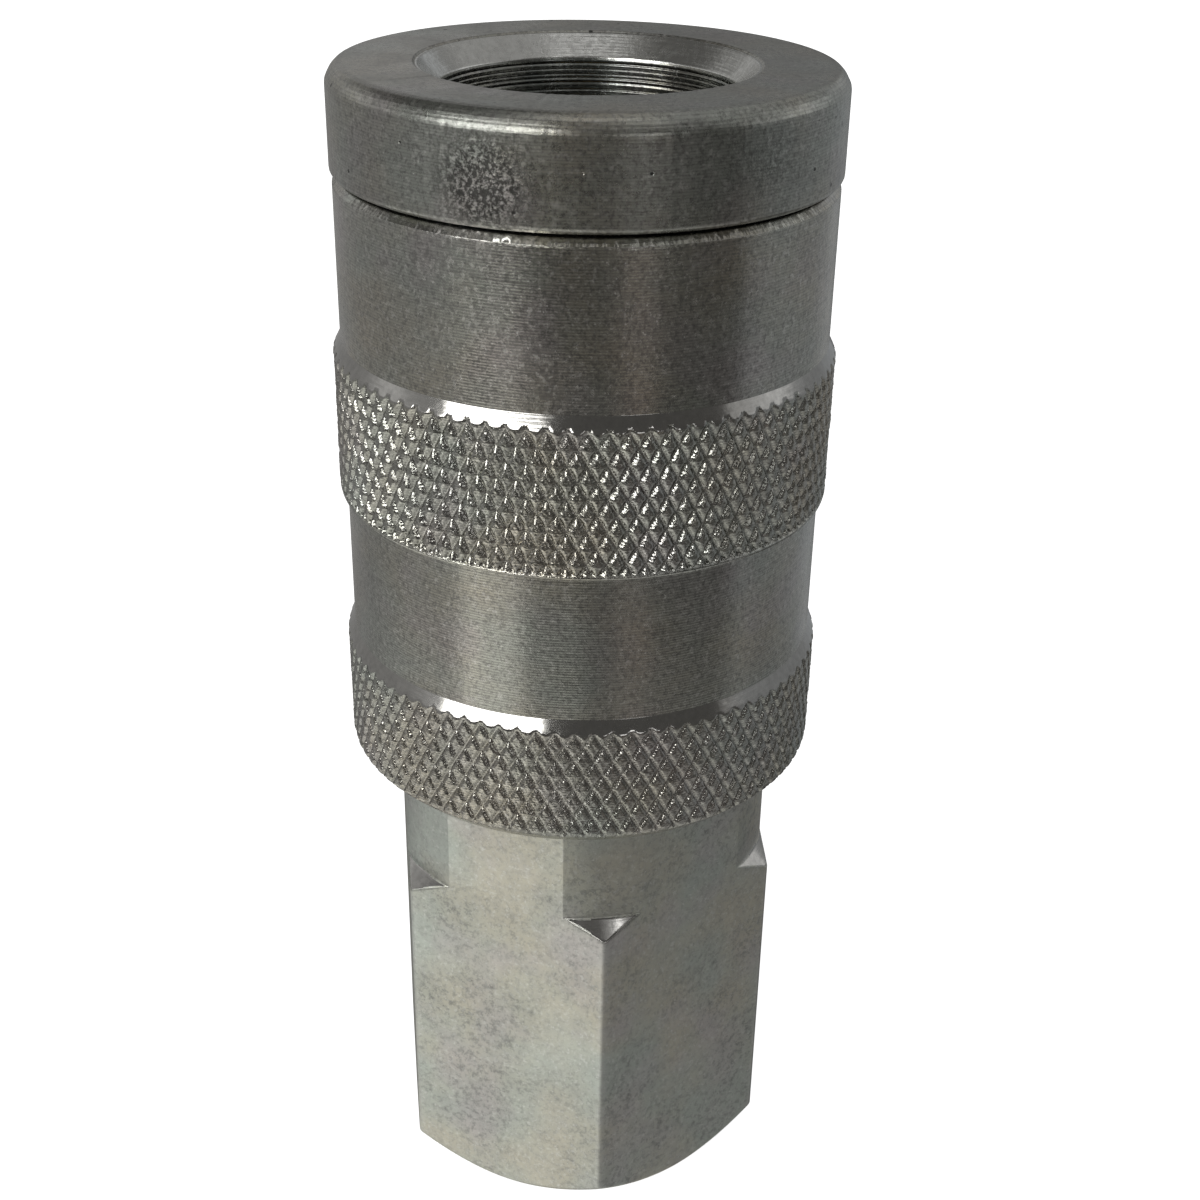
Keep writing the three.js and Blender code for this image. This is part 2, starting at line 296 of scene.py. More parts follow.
class Surface(Graph):
    """A new material's nodes, with the patterns that the finishes below are made of."""

    def __init__(self, name):
        self.material = bpy.data.materials.new(name)
        self.material.use_nodes = True
        super().__init__(self.material.node_tree)
        self.shader = self.tree.nodes["Principled BSDF"]
        self.place = self.add("ShaderNodeTexCoord").outputs["Object"]
        self.x, self.y, self.z = self.add("ShaderNodeSeparateXYZ", {0: self.place}).outputs
        x_squared, y_squared = (self.math("MULTIPLY", side, side) for side in (self.x, self.y))
        self.radius = self.math("SQRT", self.math("ADD", x_squared, y_squared))

    def finished(self, colour, roughness, normal, metallic=1.0):
        """Gives the shader its inputs, and gives back the material."""
        inputs = {"Base Color": colour, "Roughness": roughness, "Normal": normal, "Metallic": metallic}
        for name, value in inputs.items():
            self.feed(self.shader.inputs[name], value)
        return self.material

    def noise(self, size_mm, detail=2.0, roughness=0.5):
        """Noise between 0 and 1 whose lumps are about as wide as the size."""
        inputs = {"Vector": self.place, "Scale": 0.6 / (size_mm * MM), "Detail": detail,
                  "Roughness": roughness}
        return self.add("ShaderNodeTexNoise", inputs).outputs[0]

    def turning(self, spacing_mm, length_mm):
        """Uneven fine lines that run round the axis, as a lathe tool leaves them on walls and faces.

        It is noise over radius, height and direction (two numbers, so that it meets itself all round).
        """
        scale = 0.6 / (spacing_mm * MM)
        turn = self.math("DIVIDE", 10.0 / length_mm, self.radius)
        across = self.add("ShaderNodeCombineXYZ", {
            0: self.math("MULTIPLY", self.radius, scale),
            1: self.math("MULTIPLY", self.z, scale),
            2: self.math("MULTIPLY", self.x, turn),
        }).outputs[0]
        inputs = {"Vector": across, "W": self.math("MULTIPLY", self.y, turn), "Scale": 1.0, "Detail": 2.0,
                  "Roughness": 0.5}
        return self.add("ShaderNodeTexNoise", inputs, noise_dimensions="4D").outputs[0]

    def bump(self, height, depth_mm, normal=None):
        inputs = {"Strength": 1.0, "Distance": depth_mm * MM, "Height": height}
        if normal is not None:
            inputs["Normal"] = normal
        return self.add("ShaderNodeBump", inputs).outputs[0]

    def near(self, azimuth_deg, height_mm, radius_mm, reach_mm):
        """1 at a place on a round wall, fading to 0 at a distance from it."""
        azimuth = math.radians(azimuth_deg)
        centre = Vector((radius_mm * math.sin(azimuth), -radius_mm * math.cos(azimuth), height_mm)) * MM
        return self.remap(self.vector("DISTANCE", self.place, centre), 0.0, reach_mm * MM, 1.0, 0.0)


# A lathe tool's feed marks lie 0.19 mm apart: this turns a height in metres into their phase
FEED_MARKS = 2 * math.pi / (0.19 * MM)
PIT_CELLS_PER_METRE = 1300.0
PIT_COLOUR = (0.02, 0.02, 0.02)


def shade(tint, factor):
    return tuple(channel * factor for channel in tint)


def lean(tint, factors):
    return tuple(channel * factor for channel, factor in zip(tint, factors))


def passivated(n, tint):
    """Passivated zinc's colour: patches that lean to straw, to green and to a faint violet."""
    straw, green = lean(tint, (1.05, 1.0, 0.88)), lean(tint, (0.94, 1.0, 0.95))
    violet = lean(tint, (1.03, 0.96, 1.0))
    colour = n.mix(n.remap(n.noise(5.0, 3.0), 0.38, 0.62), straw, green)
    return n.mix(n.remap(n.noise(3.6, 3.0), 0.5, 0.7, 0.0, 0.7), colour, violet)


def pocked(n, colour, normal, tint, patches):
    """Adds deep, dark pocks that crowd round each patch's middle."""
    for azimuth, height, radius, reach, strength in patches:
        pocks = n.noise(0.16, 4.0, 0.75)
        place = n.math("MULTIPLY", n.near(azimuth, height, radius, reach), strength)
        normal = n.bump(n.math("MULTIPLY", pocks, place), 0.05, normal)
        hollow = n.math("MULTIPLY", n.remap(pocks, 0.42, 0.54), place)
        colour = n.mix(n.math("MINIMUM", hollow, 0.9), colour, shade(tint, 0.1))
    return colour, normal


def pitted(n, colour, normal, share):
    """Adds small round pits, each in a cell of its own, to a share of the cells."""
    cells = n.add("ShaderNodeTexVoronoi", {"Vector": n.place, "Scale": PIT_CELLS_PER_METRE})
    chance = n.add("ShaderNodeSeparateColor", {0: cells.outputs["Color"]}).outputs[0]
    pit_radius = n.remap(chance, 1.0 - share, 1.0, -0.02, 0.2)
    inside = n.remap(n.math("SUBTRACT", pit_radius, cells.outputs["Distance"]), -0.03, 0.05)
    colour = n.mix(n.math("MULTIPLY", inside, 0.85), colour, PIT_COLOUR)
    return colour, n.bump(inside, -0.04, normal)


def brushed(n, strength):
    """Stretches the highlights across the lathe's lines, which run round the axis."""
    tangent = n.add("ShaderNodeTangent", direction_type="RADIAL", axis="Z").outputs[0]
    n.feed(n.shader.inputs["Tangent"], tangent)
    n.feed(n.shader.inputs["Anisotropic"], strength)
    n.feed(n.shader.inputs["Anisotropic Rotation"], 0.25)


def turned_zinc(name, tint, roughness, pits=0.0, patches=(), lumps=0.0, anisotropic=0.6):
    """Zinc-plated steel off a lathe: lines round the axis, plating grain and pale frosting.

    pits is a share of cells, each of patches is a place as near() takes it and a strength, and lumps
    is the depth in millimetres of a coarser bump.
    """
    n = Surface(name)
    lines = n.turning(0.12, 2.5)
    phase = n.math("ADD", n.math("MULTIPLY", n.z, FEED_MARKS), n.math("MULTIPLY", lines, 4.0))
    feed = n.math("SINE", phase)
    grain = n.noise(0.17, 4.0, 0.75)
    frost = n.noise(0.22, 4.0, 0.75)
    blotch = n.noise(2.2, 4.0, 0.6)
    colour = passivated(n, tint)
    for pattern, low, high, share, tone in (
        (blotch, 0.42, 0.7, 0.3, 0.65),
        (feed, 0.0, 1.0, 0.42, 0.5),
        (lines, 0.45, 0.66, 0.25, 0.6),
        (grain, 0.49, 0.6, 0.6, 0.38),
        (frost, 0.53, 0.66, 0.4, 1.7),
    ):
        colour = n.mix(n.remap(pattern, low, high, 0.0, share), colour, shade(tint, tone))
    rough = n.remap(n.math("ADD", frost, blotch), 0.75, 1.25, roughness - 0.04, roughness + 0.08)
    normal = n.bump(feed, 0.0012)
    normal = n.bump(lines, 0.004, normal)
    normal = n.bump(grain, 0.012, normal)
    if lumps:
        normal = n.bump(n.noise(0.2, 3.0, 0.6), lumps, normal)
    colour, normal = pocked(n, colour, normal, tint, patches)
    if pits:
        colour, normal = pitted(n, colour, normal, pits)
    if anisotropic:
        brushed(n, anisotropic)
    return n.finished(colour, rough, normal)


def drawn_zinc(name, tint, roughness):
    """Zinc-plated drawn hexagon bar: an etched, speckled surface, with a painted highlight that lightens it
    along its edges.
    """
    n = Surface(name)
    etched = n.noise(0.24, 4.0, 0.8)
    mottle = n.noise(0.8, 4.0, 0.7)
    blotch = n.noise(4.0, 4.0, 0.6)
    specks = n.math("MULTIPLY", n.remap(etched, 0.49, 0.6), n.remap(blotch, 0.4, 0.6, 0.45, 1.0))
    deep = n.math("MULTIPLY", n.remap(n.noise(0.4, 3.0, 0.6), 0.58, 0.64), n.remap(blotch, 0.45, 0.6))
    light = n.remap(n.noise(0.2, 4.0, 0.75), 0.53, 0.66)
    radius_mm = n.math("DIVIDE", n.radius, MM)
    # Painted highlight: the colour is made lighter near the hexagon's rounded edges, picked out by radius
    wear_and_highlight = n.remap(n.math("ADD", radius_mm, n.math("MULTIPLY", mottle, 0.5)), 15.55, 15.8)
    colour = passivated(n, tint)
    for pattern, share, tone in (
        (n.remap(mottle, 0.4, 0.65), 0.3, 0.7),
        (specks, 0.55, 0.42),
        (deep, 0.45, 0.3),
        (light, 0.4, 1.5),
        (wear_and_highlight, 0.3, 1.3),
    ):
        colour = n.mix(n.math("MULTIPLY", pattern, share), colour, shade(tint, tone))
    rough = n.remap(blotch, 0.3, 0.7, roughness - 0.06, roughness + 0.08)
    normal = n.bump(n.turning(0.2, 5.0), 0.002, n.bump(etched, 0.012))
    return n.finished(colour, rough, normal)


def bright_metal(name, tint, roughness, scratch_mm=0.003):
    """Drawn, ground or turned metal, with fine scratches round the axis."""
    n = Surface(name)
    grain = n.noise(0.25, 3.0)
    colour = n.mix(n.remap(grain, 0.3, 0.7), tint, shade(tint, 0.8))
    rough = n.remap(grain, 0.3, 0.7, roughness * 0.75, roughness * 1.3)
    normal = n.bump(n.turning(0.1, 3.0), scratch_mm, n.bump(grain, scratch_mm))
    return n.finished(colour, rough, normal)


def plain_polymer(name, tint, roughness, grain_mm):
    """Moulded rubber or machined plastic, with a fine grain."""
    n = Surface(name)
    grain = n.noise(0.3, 4.0, 0.6)
    colour = n.mix(n.remap(grain, 0.3, 0.7), tint, shade(tint, 0.7))
    rough = n.remap(grain, 0.3, 0.7, roughness - 0.08, roughness + 0.08)
    return n.finished(colour, rough, n.bump(grain, grain_mm), metallic=0.0)


TURNED_TINT = (0.50, 0.490, 0.468)
PITTED_PATCHES = [  # azimuth, height, radius, reach, strength
    (-28, MOUTH_TOP - 4.1, GUARD_RADIUS, 3.8, 1.7),
    (33, MOUTH_TOP - 3.4, GUARD_RADIUS, 4.0, 0.5),
]
MATERIALS = {
    "zinc_plated_body": drawn_zinc("zinc_plated_body", (0.56, 0.566, 0.545), 0.38),
    "zinc_plated_guard": turned_zinc("zinc_plated_guard", (0.44, 0.433, 0.415), 0.28, pits=0.12,
                                     patches=PITTED_PATCHES, anisotropic=0.4),
    "zinc_plated_sleeve": turned_zinc("zinc_plated_sleeve", TURNED_TINT, 0.22),
    "spring_wire": bright_metal("spring_wire", (0.6, 0.6, 0.61), 0.3),
    "polished_ball_steel": bright_metal("polished_ball_steel", (0.78, 0.78, 0.79), 0.12, 0.0005),
    "nitrile_rubber": plain_polymer("nitrile_rubber", (0.022, 0.022, 0.024), 0.55, 0.006),
    "white_fluoroplastic": plain_polymer("white_fluoroplastic", (0.8, 0.79, 0.76), 0.45, 0.004),
    "turned_brass": bright_metal("turned_brass", (0.75, 0.56, 0.27), 0.28, 0.006),
}
KNURLED = turned_zinc("zinc_plated_knurl", TURNED_TINT, 0.15, lumps=0.055, anisotropic=0.0)
POLISHED = bright_metal("zinc_plated_chamfer", TURNED_TINT, 0.13, 0.004)
# A lighter copy of the plated zinc for the countersink: painted light where it faces up and mirrors the room
LIT_COUNTERSINK = bright_metal("zinc_plated_countersink_painted_light", (0.64, 0.64, 0.615), 0.24, 0.02)
# A darker copy of the turned zinc for the bores: painted shade inside the socket
SHADED_BORE = turned_zinc("zinc_plated_bore_painted_shade", (0.36, 0.365, 0.36), 0.2)


def paint(piece, material, chosen):
    """Gives the faces chosen by radius, height (mm) and upward slope another finish."""
    slot = len(piece.data.materials)
    piece.data.materials.append(material)
    for face in piece.data.polygons:
        radius = math.hypot(face.center.x, face.center.y) / MM
        if chosen(radius, face.center.z / MM, face.normal.z):
            face.material_index = slot


def finish_piece(piece, node, body, slot, material=None):
    """Gives a finished piece its material and its body, and hides the CAD node that it stands for."""
    piece.data.materials.clear()
    piece.data.materials.append(material or MATERIALS[slot])
    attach(piece, body)
    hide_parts(node)
    return piece


# --- Knurled sleeve ------------------------------------------------------------------------------
KNURL_STARTS = 84
KNURL_CELLS = 12
KNURL_ANGLE = math.radians(30)
KNURL_PITCH = 2 * math.pi * KNURL_RADIUS / KNURL_STARTS
KNURL_RISE = KNURL_PITCH / math.tan(KNURL_ANGLE)
LOWER_GRIP = (SLEEVE_BASE + 0.9, SLEEVE_BASE + 9.15)
UPPER_GRIP = (SLEEVE_BASE + 20.1, SLEEVE_BASE + 30.35)
GRIP_STEP = KNURL_RADIUS - SLEEVE_RADIUS

# A grip's upper chamfer starts CHAMFER_FOOT below the grip's edge, and meets the smooth wall GRIP_STEP
# above it. The lower grip also has a chamfer at the sleeve's foot.
CHAMFER_FOOT = 0.5
CHAMFER_SLOPE = GRIP_STEP / (GRIP_STEP + CHAMFER_FOOT)
FOOT_CHAMFER = 0.9

# A groove's depth from its middle, 0, to half way to the next groove, 0.5
GROOVE_STOPS = [0.0, 0.083, 0.167, 0.25, 0.333, 0.5]
BROAD_GROOVE = [0.3, 0.19, 0.1, 0.035, 0.0, 0.02]
FINE_GROOVE = [0.26, 0.13, 0.035, 0.0, 0.01, 0.02]
PAD_UNEVENNESS = 0.06


def knurl_radius(angles, height):
    """The knurled surface's radius: two families of helical grooves, with uneven pads between.

    The sine's large factors scatter the pads' heights, the same way each run.
    """
    round_share = KNURL_STARTS * angles / (2 * math.pi)
    rise_share = height / KNURL_RISE
    right, left = round_share + rise_share, round_share - rise_share
    depths = FINE_GROOVE if height < LOWER_GRIP[1] + 1 else BROAD_GROOVE
    right_depth = np.interp(np.abs(right - np.round(right)), GROOVE_STOPS, depths)
    left_depth = np.interp(np.abs(left - np.round(left)), GROOVE_STOPS, depths)
    depth = np.maximum(right_depth, left_depth)
    pad_right = np.floor(right) % KNURL_STARTS
    pad_left = np.floor(left) % KNURL_STARTS
    scattered = np.sin(pad_right * 12.9898 + pad_left * 78.233) * 43758.5453
    uneven = (scattered - np.floor(scattered)) * PAD_UNEVENNESS
    return KNURL_RADIUS - depth - uneven


def grip_rows(angles, low, high, foot_chamfer):
    """Rows of (radii, heights) over one grip, cut back to its chamfers, with a torn upper edge."""
    step = KNURL_RISE / KNURL_CELLS
    start = low - foot_chamfer
    end = high + GRIP_STEP
    chamfer = high - CHAMFER_FOOT
    even = [k * step for k in range(math.ceil(start / step), math.floor(chamfer / step) + 1)]
    heights = [start + 0.02] + even + list(np.linspace(chamfer + 0.08, end - 0.02, 10))
    rough = np.random.default_rng(int(low)).normal(0, 0.018, (len(heights), len(angles)))
    torn = 0.06 * np.abs(wobble(len(angles), int(high), 3))
    rows = []
    for index, height in enumerate(heights):
        fade = np.interp(height, [high - 1.2, high], [1.0, 0.5])
        depth = (KNURL_RADIUS - knurl_radius(angles, height) + np.abs(rough[index])) * fade
        radius = np.minimum(KNURL_RADIUS - depth, KNURL_RADIUS - CHAMFER_SLOPE * max(height - chamfer, 0))
        radius = np.where(height > chamfer, np.minimum(radius, KNURL_RADIUS - torn), radius)
        if foot_chamfer:
            radius = np.minimum(radius, KNURL_RADIUS - max(low - height, 0))
        rows.append((np.maximum(radius, SLEEVE_RADIUS - 0.4), np.full(len(angles), height)))
    return rows


def plain_rows(angles, outline, setback=0.1, ragged=0.0):
    """Rows of (radii, heights) along an outline with softened corners, worn by up to a ragged depth."""
    rows = []
    for index, (radius, height) in enumerate(softened_open(outline, setback)):
        wear_and_highlight = ragged * np.abs(wobble(len(angles), index + 900, 3)) if ragged else 0.0
        rows.append((np.full(len(angles), radius) - wear_and_highlight, np.full(len(angles), height)))
    return rows


def wall_start(height):
    """Points close together where a smooth wall starts above a grip, so that its shading stays even."""
    return [(SLEEVE_RADIUS, height + gap) for gap in (0.0, 0.05, 0.1)]


def make_sleeve():
    columns = KNURL_STARTS * KNURL_CELLS
    angles = np.linspace(0, 2 * math.pi, columns, endpoint=False)
    rim = UPPER_GRIP[0] + 0.26
    ramp_top, land_top, land_base = SLEEVE_TOP - 2.46, SLEEVE_TOP - 8.7, SLEEVE_TOP - 17.7
    land_radius, edge_radius = 13.35, 16.1
    rows = plain_rows(angles, [(SLEEVE_BORE, SLEEVE_BASE + FOOT_CHAMFER), (SLEEVE_BORE, SLEEVE_BASE),
                               (KNURL_RADIUS - FOOT_CHAMFER, SLEEVE_BASE)])
    rows += grip_rows(angles, *LOWER_GRIP, foot_chamfer=FOOT_CHAMFER)
    rows += plain_rows(angles, [*wall_start(LOWER_GRIP[1] + GRIP_STEP), (SLEEVE_RADIUS, UPPER_GRIP[0]),
                                (KNURL_RADIUS - 0.12, UPPER_GRIP[0]), (KNURL_RADIUS - 0.06, rim)])
    rows += grip_rows(angles, rim, UPPER_GRIP[1], foot_chamfer=0)
    rows += plain_rows(angles, [*wall_start(UPPER_GRIP[1] + GRIP_STEP), (SLEEVE_RADIUS, SLEEVE_TOP - 0.7),
                                (SLEEVE_RADIUS, SLEEVE_TOP - 0.62)])
    rows += plain_rows(angles, [(SLEEVE_RADIUS, SLEEVE_TOP - 0.55), (SLEEVE_RADIUS, SLEEVE_TOP - 0.45),
                                (edge_radius, SLEEVE_TOP), (edge_radius - 0.3, SLEEVE_TOP)], ragged=0.02)
    rows += plain_rows(angles, [(edge_radius - 0.35, SLEEVE_TOP), (SLEEVE_BORE, SLEEVE_TOP),
                                (SLEEVE_BORE, ramp_top), (land_radius, land_top), (land_radius, land_base),
                                (SLEEVE_BORE, land_base), (SLEEVE_BORE, SLEEVE_BASE + 2)])
    radii = np.array([radius for radius, _ in rows])
    heights = np.array([height for _, height in rows])
    piece = skin("knurled_sleeve", radii, heights, angles, split_low=True)
    finish_piece(piece, "release_sleeve", "sleeve", "zinc_plated_sleeve")
    paint(piece, KNURLED, on_knurl)
    paint(piece, POLISHED, on_grip_chamfer)
    return piece


def on_knurl(radius, height, slope):
    for low, high in (LOWER_GRIP, UPPER_GRIP):
        if low - FOOT_CHAMFER < height < high + GRIP_STEP and radius > SLEEVE_RADIUS - 0.1:
            return True
    return False


def on_grip_chamfer(radius, height, slope):
    for low, high in (LOWER_GRIP, UPPER_GRIP):
        cone = KNURL_RADIUS - CHAMFER_SLOPE * (height - high + CHAMFER_FOOT)
        if high - CHAMFER_FOOT < height < high + GRIP_STEP and radius > cone - 0.02:
            return True
    return False


def tool_marks(radius, top, bottom, depth, spacing, seed):
    """Outline points down a bored wall, with uneven grooves that the boring tool left at about a spacing."""
    random = np.random.default_rng(seed)
    points = []
    height = top - spacing / 2
    while height > bottom + 0.2:
        cut = depth * random.uniform(0.3, 1.0)
        half_width = random.uniform(0.05, 0.11)
        points += [(radius, height + half_width), (radius + cut, height), (radius, height - half_width)]
        height -= spacing * random.uniform(0.7, 1.5)
    return points


def make_guard():
    top, skirt = MOUTH_TOP, GUARD_LOW.z
    base = skirt + 2.42
    seat = BARREL_HIGH.z + 0.12
    thread, skirt_radius, base_radius = 12.6, 14.3, 16.4
    face_outer, face_inner, countersink = 15.5, 11.15, 10.85
    outline = [
        (thread, skirt), (skirt_radius, skirt), (skirt_radius, base), (base_radius, base),
        (GUARD_RADIUS, base + 0.3), (GUARD_RADIUS, top - 1.0), (GUARD_RADIUS - 0.33, top - 0.42),
        (GUARD_RADIUS - 0.68, top - 0.08), (face_outer, top), (face_inner, top),
        (face_inner - 0.1, top - 0.12), (countersink, top - 0.14),
        (SOCKET_RADIUS + 0.05, top - 1.55), (SOCKET_RADIUS, top - 1.75),
    ]
    outline += tool_marks(SOCKET_RADIUS, top - 1.8, seat, 0.09, 0.34, seed=5)
    outline += [(SOCKET_RADIUS, seat), (thread, seat)]
    piece = turned("guard_ring_turned", outline, columns=600, setback=0.2, ragged=0.02,
                   ragged_corners=(4, 5, 9, 10))
    finish_piece(piece, "guard_ring", "root", "zinc_plated_guard")
    rim, foot = top - 0.1, top - 1.62
    # The countersink gets the lighter copy of the zinc, which is painted light
    paint(piece, LIT_COUNTERSINK, lambda radius, height, slope: radius < 11.0 and foot < height < rim)
    # The guard's bore below the countersink gets the darker copy of the zinc, which is painted shade
    paint(piece, SHADED_BORE, lambda radius, height, slope: radius < SOCKET_RADIUS + 0.2 and height <= foot)
    return piece


# --- Hexagon body --------------------------------------------------------------------------------
EDGE_FILLET = 0.5
PORT_PITCH = 25.4 / 14
PORT_DEPTH = 18.0
PORT_TOP_RADIUS = 9.1
PORT_CHAMFER_RADIUS = 10.95
PORT_TAPER = 1 / 32
THREAD_DEPTH = 1.0
THREAD_TOP = PORT_DEPTH - 2.6
THREAD_RUN_OUT = 1.5
THREAD_ROWS = 12
SHOULDER_BASE = NECK_TOP - 11.55
SHOULDER_SLOPE = 0.919
END_FACE_RADIUS = 13.35
CHAMBER_FLOOR = NECK_TOP - 15.5
EDGE_CENTRE = (HEX_APOTHEM - EDGE_FILLET) / math.cos(math.pi / 6)
EDGE_REACH = math.atan2(EDGE_FILLET / 2, EDGE_CENTRE + EDGE_FILLET * math.cos(math.pi / 6))


def hexagon_radius(angles):
    """Distance from the axis to the hexagon's skin, with its six edges slightly rounded."""
    corner = (angles + math.pi / 6) % (math.pi / 3) - math.pi / 6
    flat = HEX_APOTHEM / np.cos(math.pi / 6 - np.abs(corner))
    side = EDGE_CENTRE * np.sin(corner)
    arc = EDGE_CENTRE * np.cos(corner) + np.sqrt(np.maximum(EDGE_FILLET ** 2 - side ** 2, 0))
    return np.where(np.abs(corner) < EDGE_REACH, arc, flat)


def hexagon_angles():
    """Columns round the hexagon, close together at its edges and where the neck's flats end."""
    fillet = math.degrees(EDGE_REACH)
    flat_end = 30 - math.degrees(math.acos(HEX_APOTHEM / NECK_RADIUS))
    near_edge = [fillet * share for share in (0.0, 0.2, 0.4, 0.6, 0.8, 0.98, 1.3)]
    near_flat = [flat_end + offset for offset in (-1.0, -0.2, 0.0, 0.2, 1.0)]
    between = list(np.linspace(fillet + 1, flat_end - 2, 6)) + list(np.linspace(flat_end + 2, 30, 12))
    half = np.unique(np.round(near_edge + near_flat + between, 6))
    sector = np.concatenate([-half[::-1][:-1], half[:-1]])
    degrees = np.concatenate([sector + 60 * k for k in range(6)])
    return np.radians(np.sort(np.unique(np.round(degrees, 6))))


def thread_radius(angles, height, crest):
    """A right-hand taper pipe thread cut into a bore whose crests are at the given radius.

    Each groove has a flat root and straight flanks, and the thread fades out towards its top.
    """
    phase = (height / PORT_PITCH - angles / (2 * math.pi)) % 1.0
    groove = np.clip(1.25 - 2.9 * np.abs(phase - 0.5), 0, 1)
    fade = np.clip((THREAD_TOP - height) / THREAD_RUN_OUT, 0, 1)
    return crest + THREAD_DEPTH * groove * fade


def make_hexagon():
    angles = hexagon_angles()
    count = len(angles)
    reach = hexagon_radius(angles)
    neck = np.minimum(reach, NECK_RADIUS)
    shoulder_top = SHOULDER_BASE - SHOULDER_SLOPE * (reach - neck) - 0.05
    barrel_bore, web_bore = 12.0, 7.0

    def level(radius, height):
        return np.stack([np.broadcast_to(radius, (count,)), np.broadcast_to(height, (count,))], axis=-1)

    outside = np.stack([
        level(END_FACE_RADIUS - 1.0, 0.0),
        level(END_FACE_RADIUS, 0.0),
        level(reach, reach - END_FACE_RADIUS),
        level(reach, shoulder_top),
        level(neck, SHOULDER_BASE),
        level(neck, NECK_TOP),
        level(barrel_bore, NECK_TOP),
        level(barrel_bore, CHAMBER_FLOOR),
        level(web_bore, CHAMBER_FLOOR),
        level(web_bore, PORT_DEPTH),
        level(PORT_TOP_RADIUS, PORT_DEPTH),
        level(PORT_TOP_RADIUS, PORT_DEPTH - 0.8),
    ])
    rows = list(softened_open(outside, setback=0.16))
    for height in np.arange(PORT_DEPTH - 1.2, 0.0, -PORT_PITCH / THREAD_ROWS):
        crest = PORT_TOP_RADIUS + (PORT_DEPTH - height) * PORT_TAPER
        bore = np.maximum(thread_radius(angles, height, crest), PORT_CHAMFER_RADIUS - height)
        rows.append(level(bore, height))
    rows.append(level(PORT_CHAMFER_RADIUS + 0.03, 0.0))
    rows = np.array(rows)
    piece = skin("hexagon_body", rows[..., 0], rows[..., 1], angles)
    finish_piece(piece, "hex_body", "root", "zinc_plated_body")
    paint(piece, POLISHED, lambda radius, height, slope: radius > NECK_RADIUS - 0.1 and slope > 0.62)
    return piece


# --- Barrel --------------------------------------------------------------------------------------
BALL_RADIUS = 2.38
BALL_NUMBERS = range(1, 9)


def ball_centre(index):
    low, high = cad_box(f"locking_ball_{index}")
    return (low + high) / 2


def ball_hole_cutter(index):
    """The shape of one ball's hole, along its radius: wide outside, with a lip that holds the ball."""
    lip, hole, inner, outer = 2.22, 2.6, 8.8, 14.5
    outline = [(0, inner), (lip, inner), (lip, 9.75), (hole, 10.35), (hole, outer), (0, outer)]
    cutter = turned_plug(f"ball_hole_{index}", outline, columns=40, setback=0.03)
    centre = ball_centre(index)
    outward = Vector((centre.x, centre.y, 0)).to_track_quat("Z", "Y").to_matrix().to_4x4()
    cutter.data.transform(Matrix.Translation((0, 0, centre.z * MM)) @ outward)
    return cutter


def make_barrel():
    low, high = BARREL_LOW.z, BARREL_HIGH.z
    chamber, seat, thread, wall, cage = 9.6, 7.6, 11.7, 12.3, 13.1
    o_ring_groove, seal_groove = 10.4, 11.25
    groove_low, groove_high, tail_top = low + 8.75, low + 10.65, low + 11.65
    seat_low, seat_high, seal_low, seal_high = low + 19, low + 21.2, low + 33.3, low + 36.9
    outline = [
        (chamber, low), (thread, low), (thread, groove_low), (o_ring_groove, groove_low),
        (o_ring_groove, groove_high), (thread, groove_high), (thread, tail_top), (wall, tail_top),
        (wall, low + 32), (cage, low + 32.8), (cage, low + 47.2), (wall, low + 47.2), (wall, high),
        (SOCKET_RADIUS, high),
    ]
    outline += tool_marks(SOCKET_RADIUS, high - 0.1, low + 43.5, 0.06, 0.4, seed=9)
    outline += [
        (SOCKET_RADIUS, seal_high), (seal_groove, seal_high), (seal_groove, seal_low),
        (SOCKET_RADIUS, seal_low), (SOCKET_RADIUS, seat_high), (seat, seat_high), (seat, seat_low),
        (chamber, seat_low),
    ]
    piece = turned("socket_barrel", outline, columns=240)
    for index in BALL_NUMBERS:
        boolean(piece, ball_hole_cutter(index), "DIFFERENCE")
    sharpen_by_angle(piece)
    # The barrel, seen only down the socket, gets the darker copy of the zinc, which is painted shade
    return finish_piece(piece, "front_barrel", "root", "zinc_plated_body", SHADED_BORE)


# --- Inner pieces --------------------------------------------------------------------------------
def add_object(name, shape):
    """Turns a bmesh into an object in the scene."""
    mesh = bpy.data.meshes.new(name)
    shape.to_mesh(mesh)
    shape.free()
    piece = bpy.data.objects.new(name, mesh)
    bpy.context.scene.collection.objects.link(piece)
    return piece


def rounded_block(name, size_mm, edges, offset_mm, segments, turn, shift_mm):
    """A block to cut or join with: the edges chosen are rounded, then it is shifted and turned."""
    shape = bmesh.new()
    bmesh.ops.create_cube(shape, size=1.0)
    bmesh.ops.scale(shape, verts=shape.verts, vec=Vector(size_mm) * MM)
    bmesh.ops.bevel(shape, geom=edges(shape), offset=offset_mm * MM, segments=segments, affect="EDGES")
    bmesh.ops.translate(shape, verts=shape.verts, vec=Vector(shift_mm) * MM)
    bmesh.ops.rotate(shape, verts=shape.verts, matrix=Matrix.Rotation(turn, 3, "Z"))
    return add_object(name, shape)


def make_ball(index):
    shape = bmesh.new()
    bmesh.ops.create_icosphere(shape, subdivisions=4, radius=BALL_RADIUS * MM)
    bmesh.ops.translate(shape, verts=shape.verts, vec=ball_centre(index) * MM)
    piece = add_object(f"steel_ball_{index}", shape)
    piece.data.shade_smooth()
    return finish_piece(piece, f"locking_ball_{index}", f"ball_{index}", "polished_ball_steel")


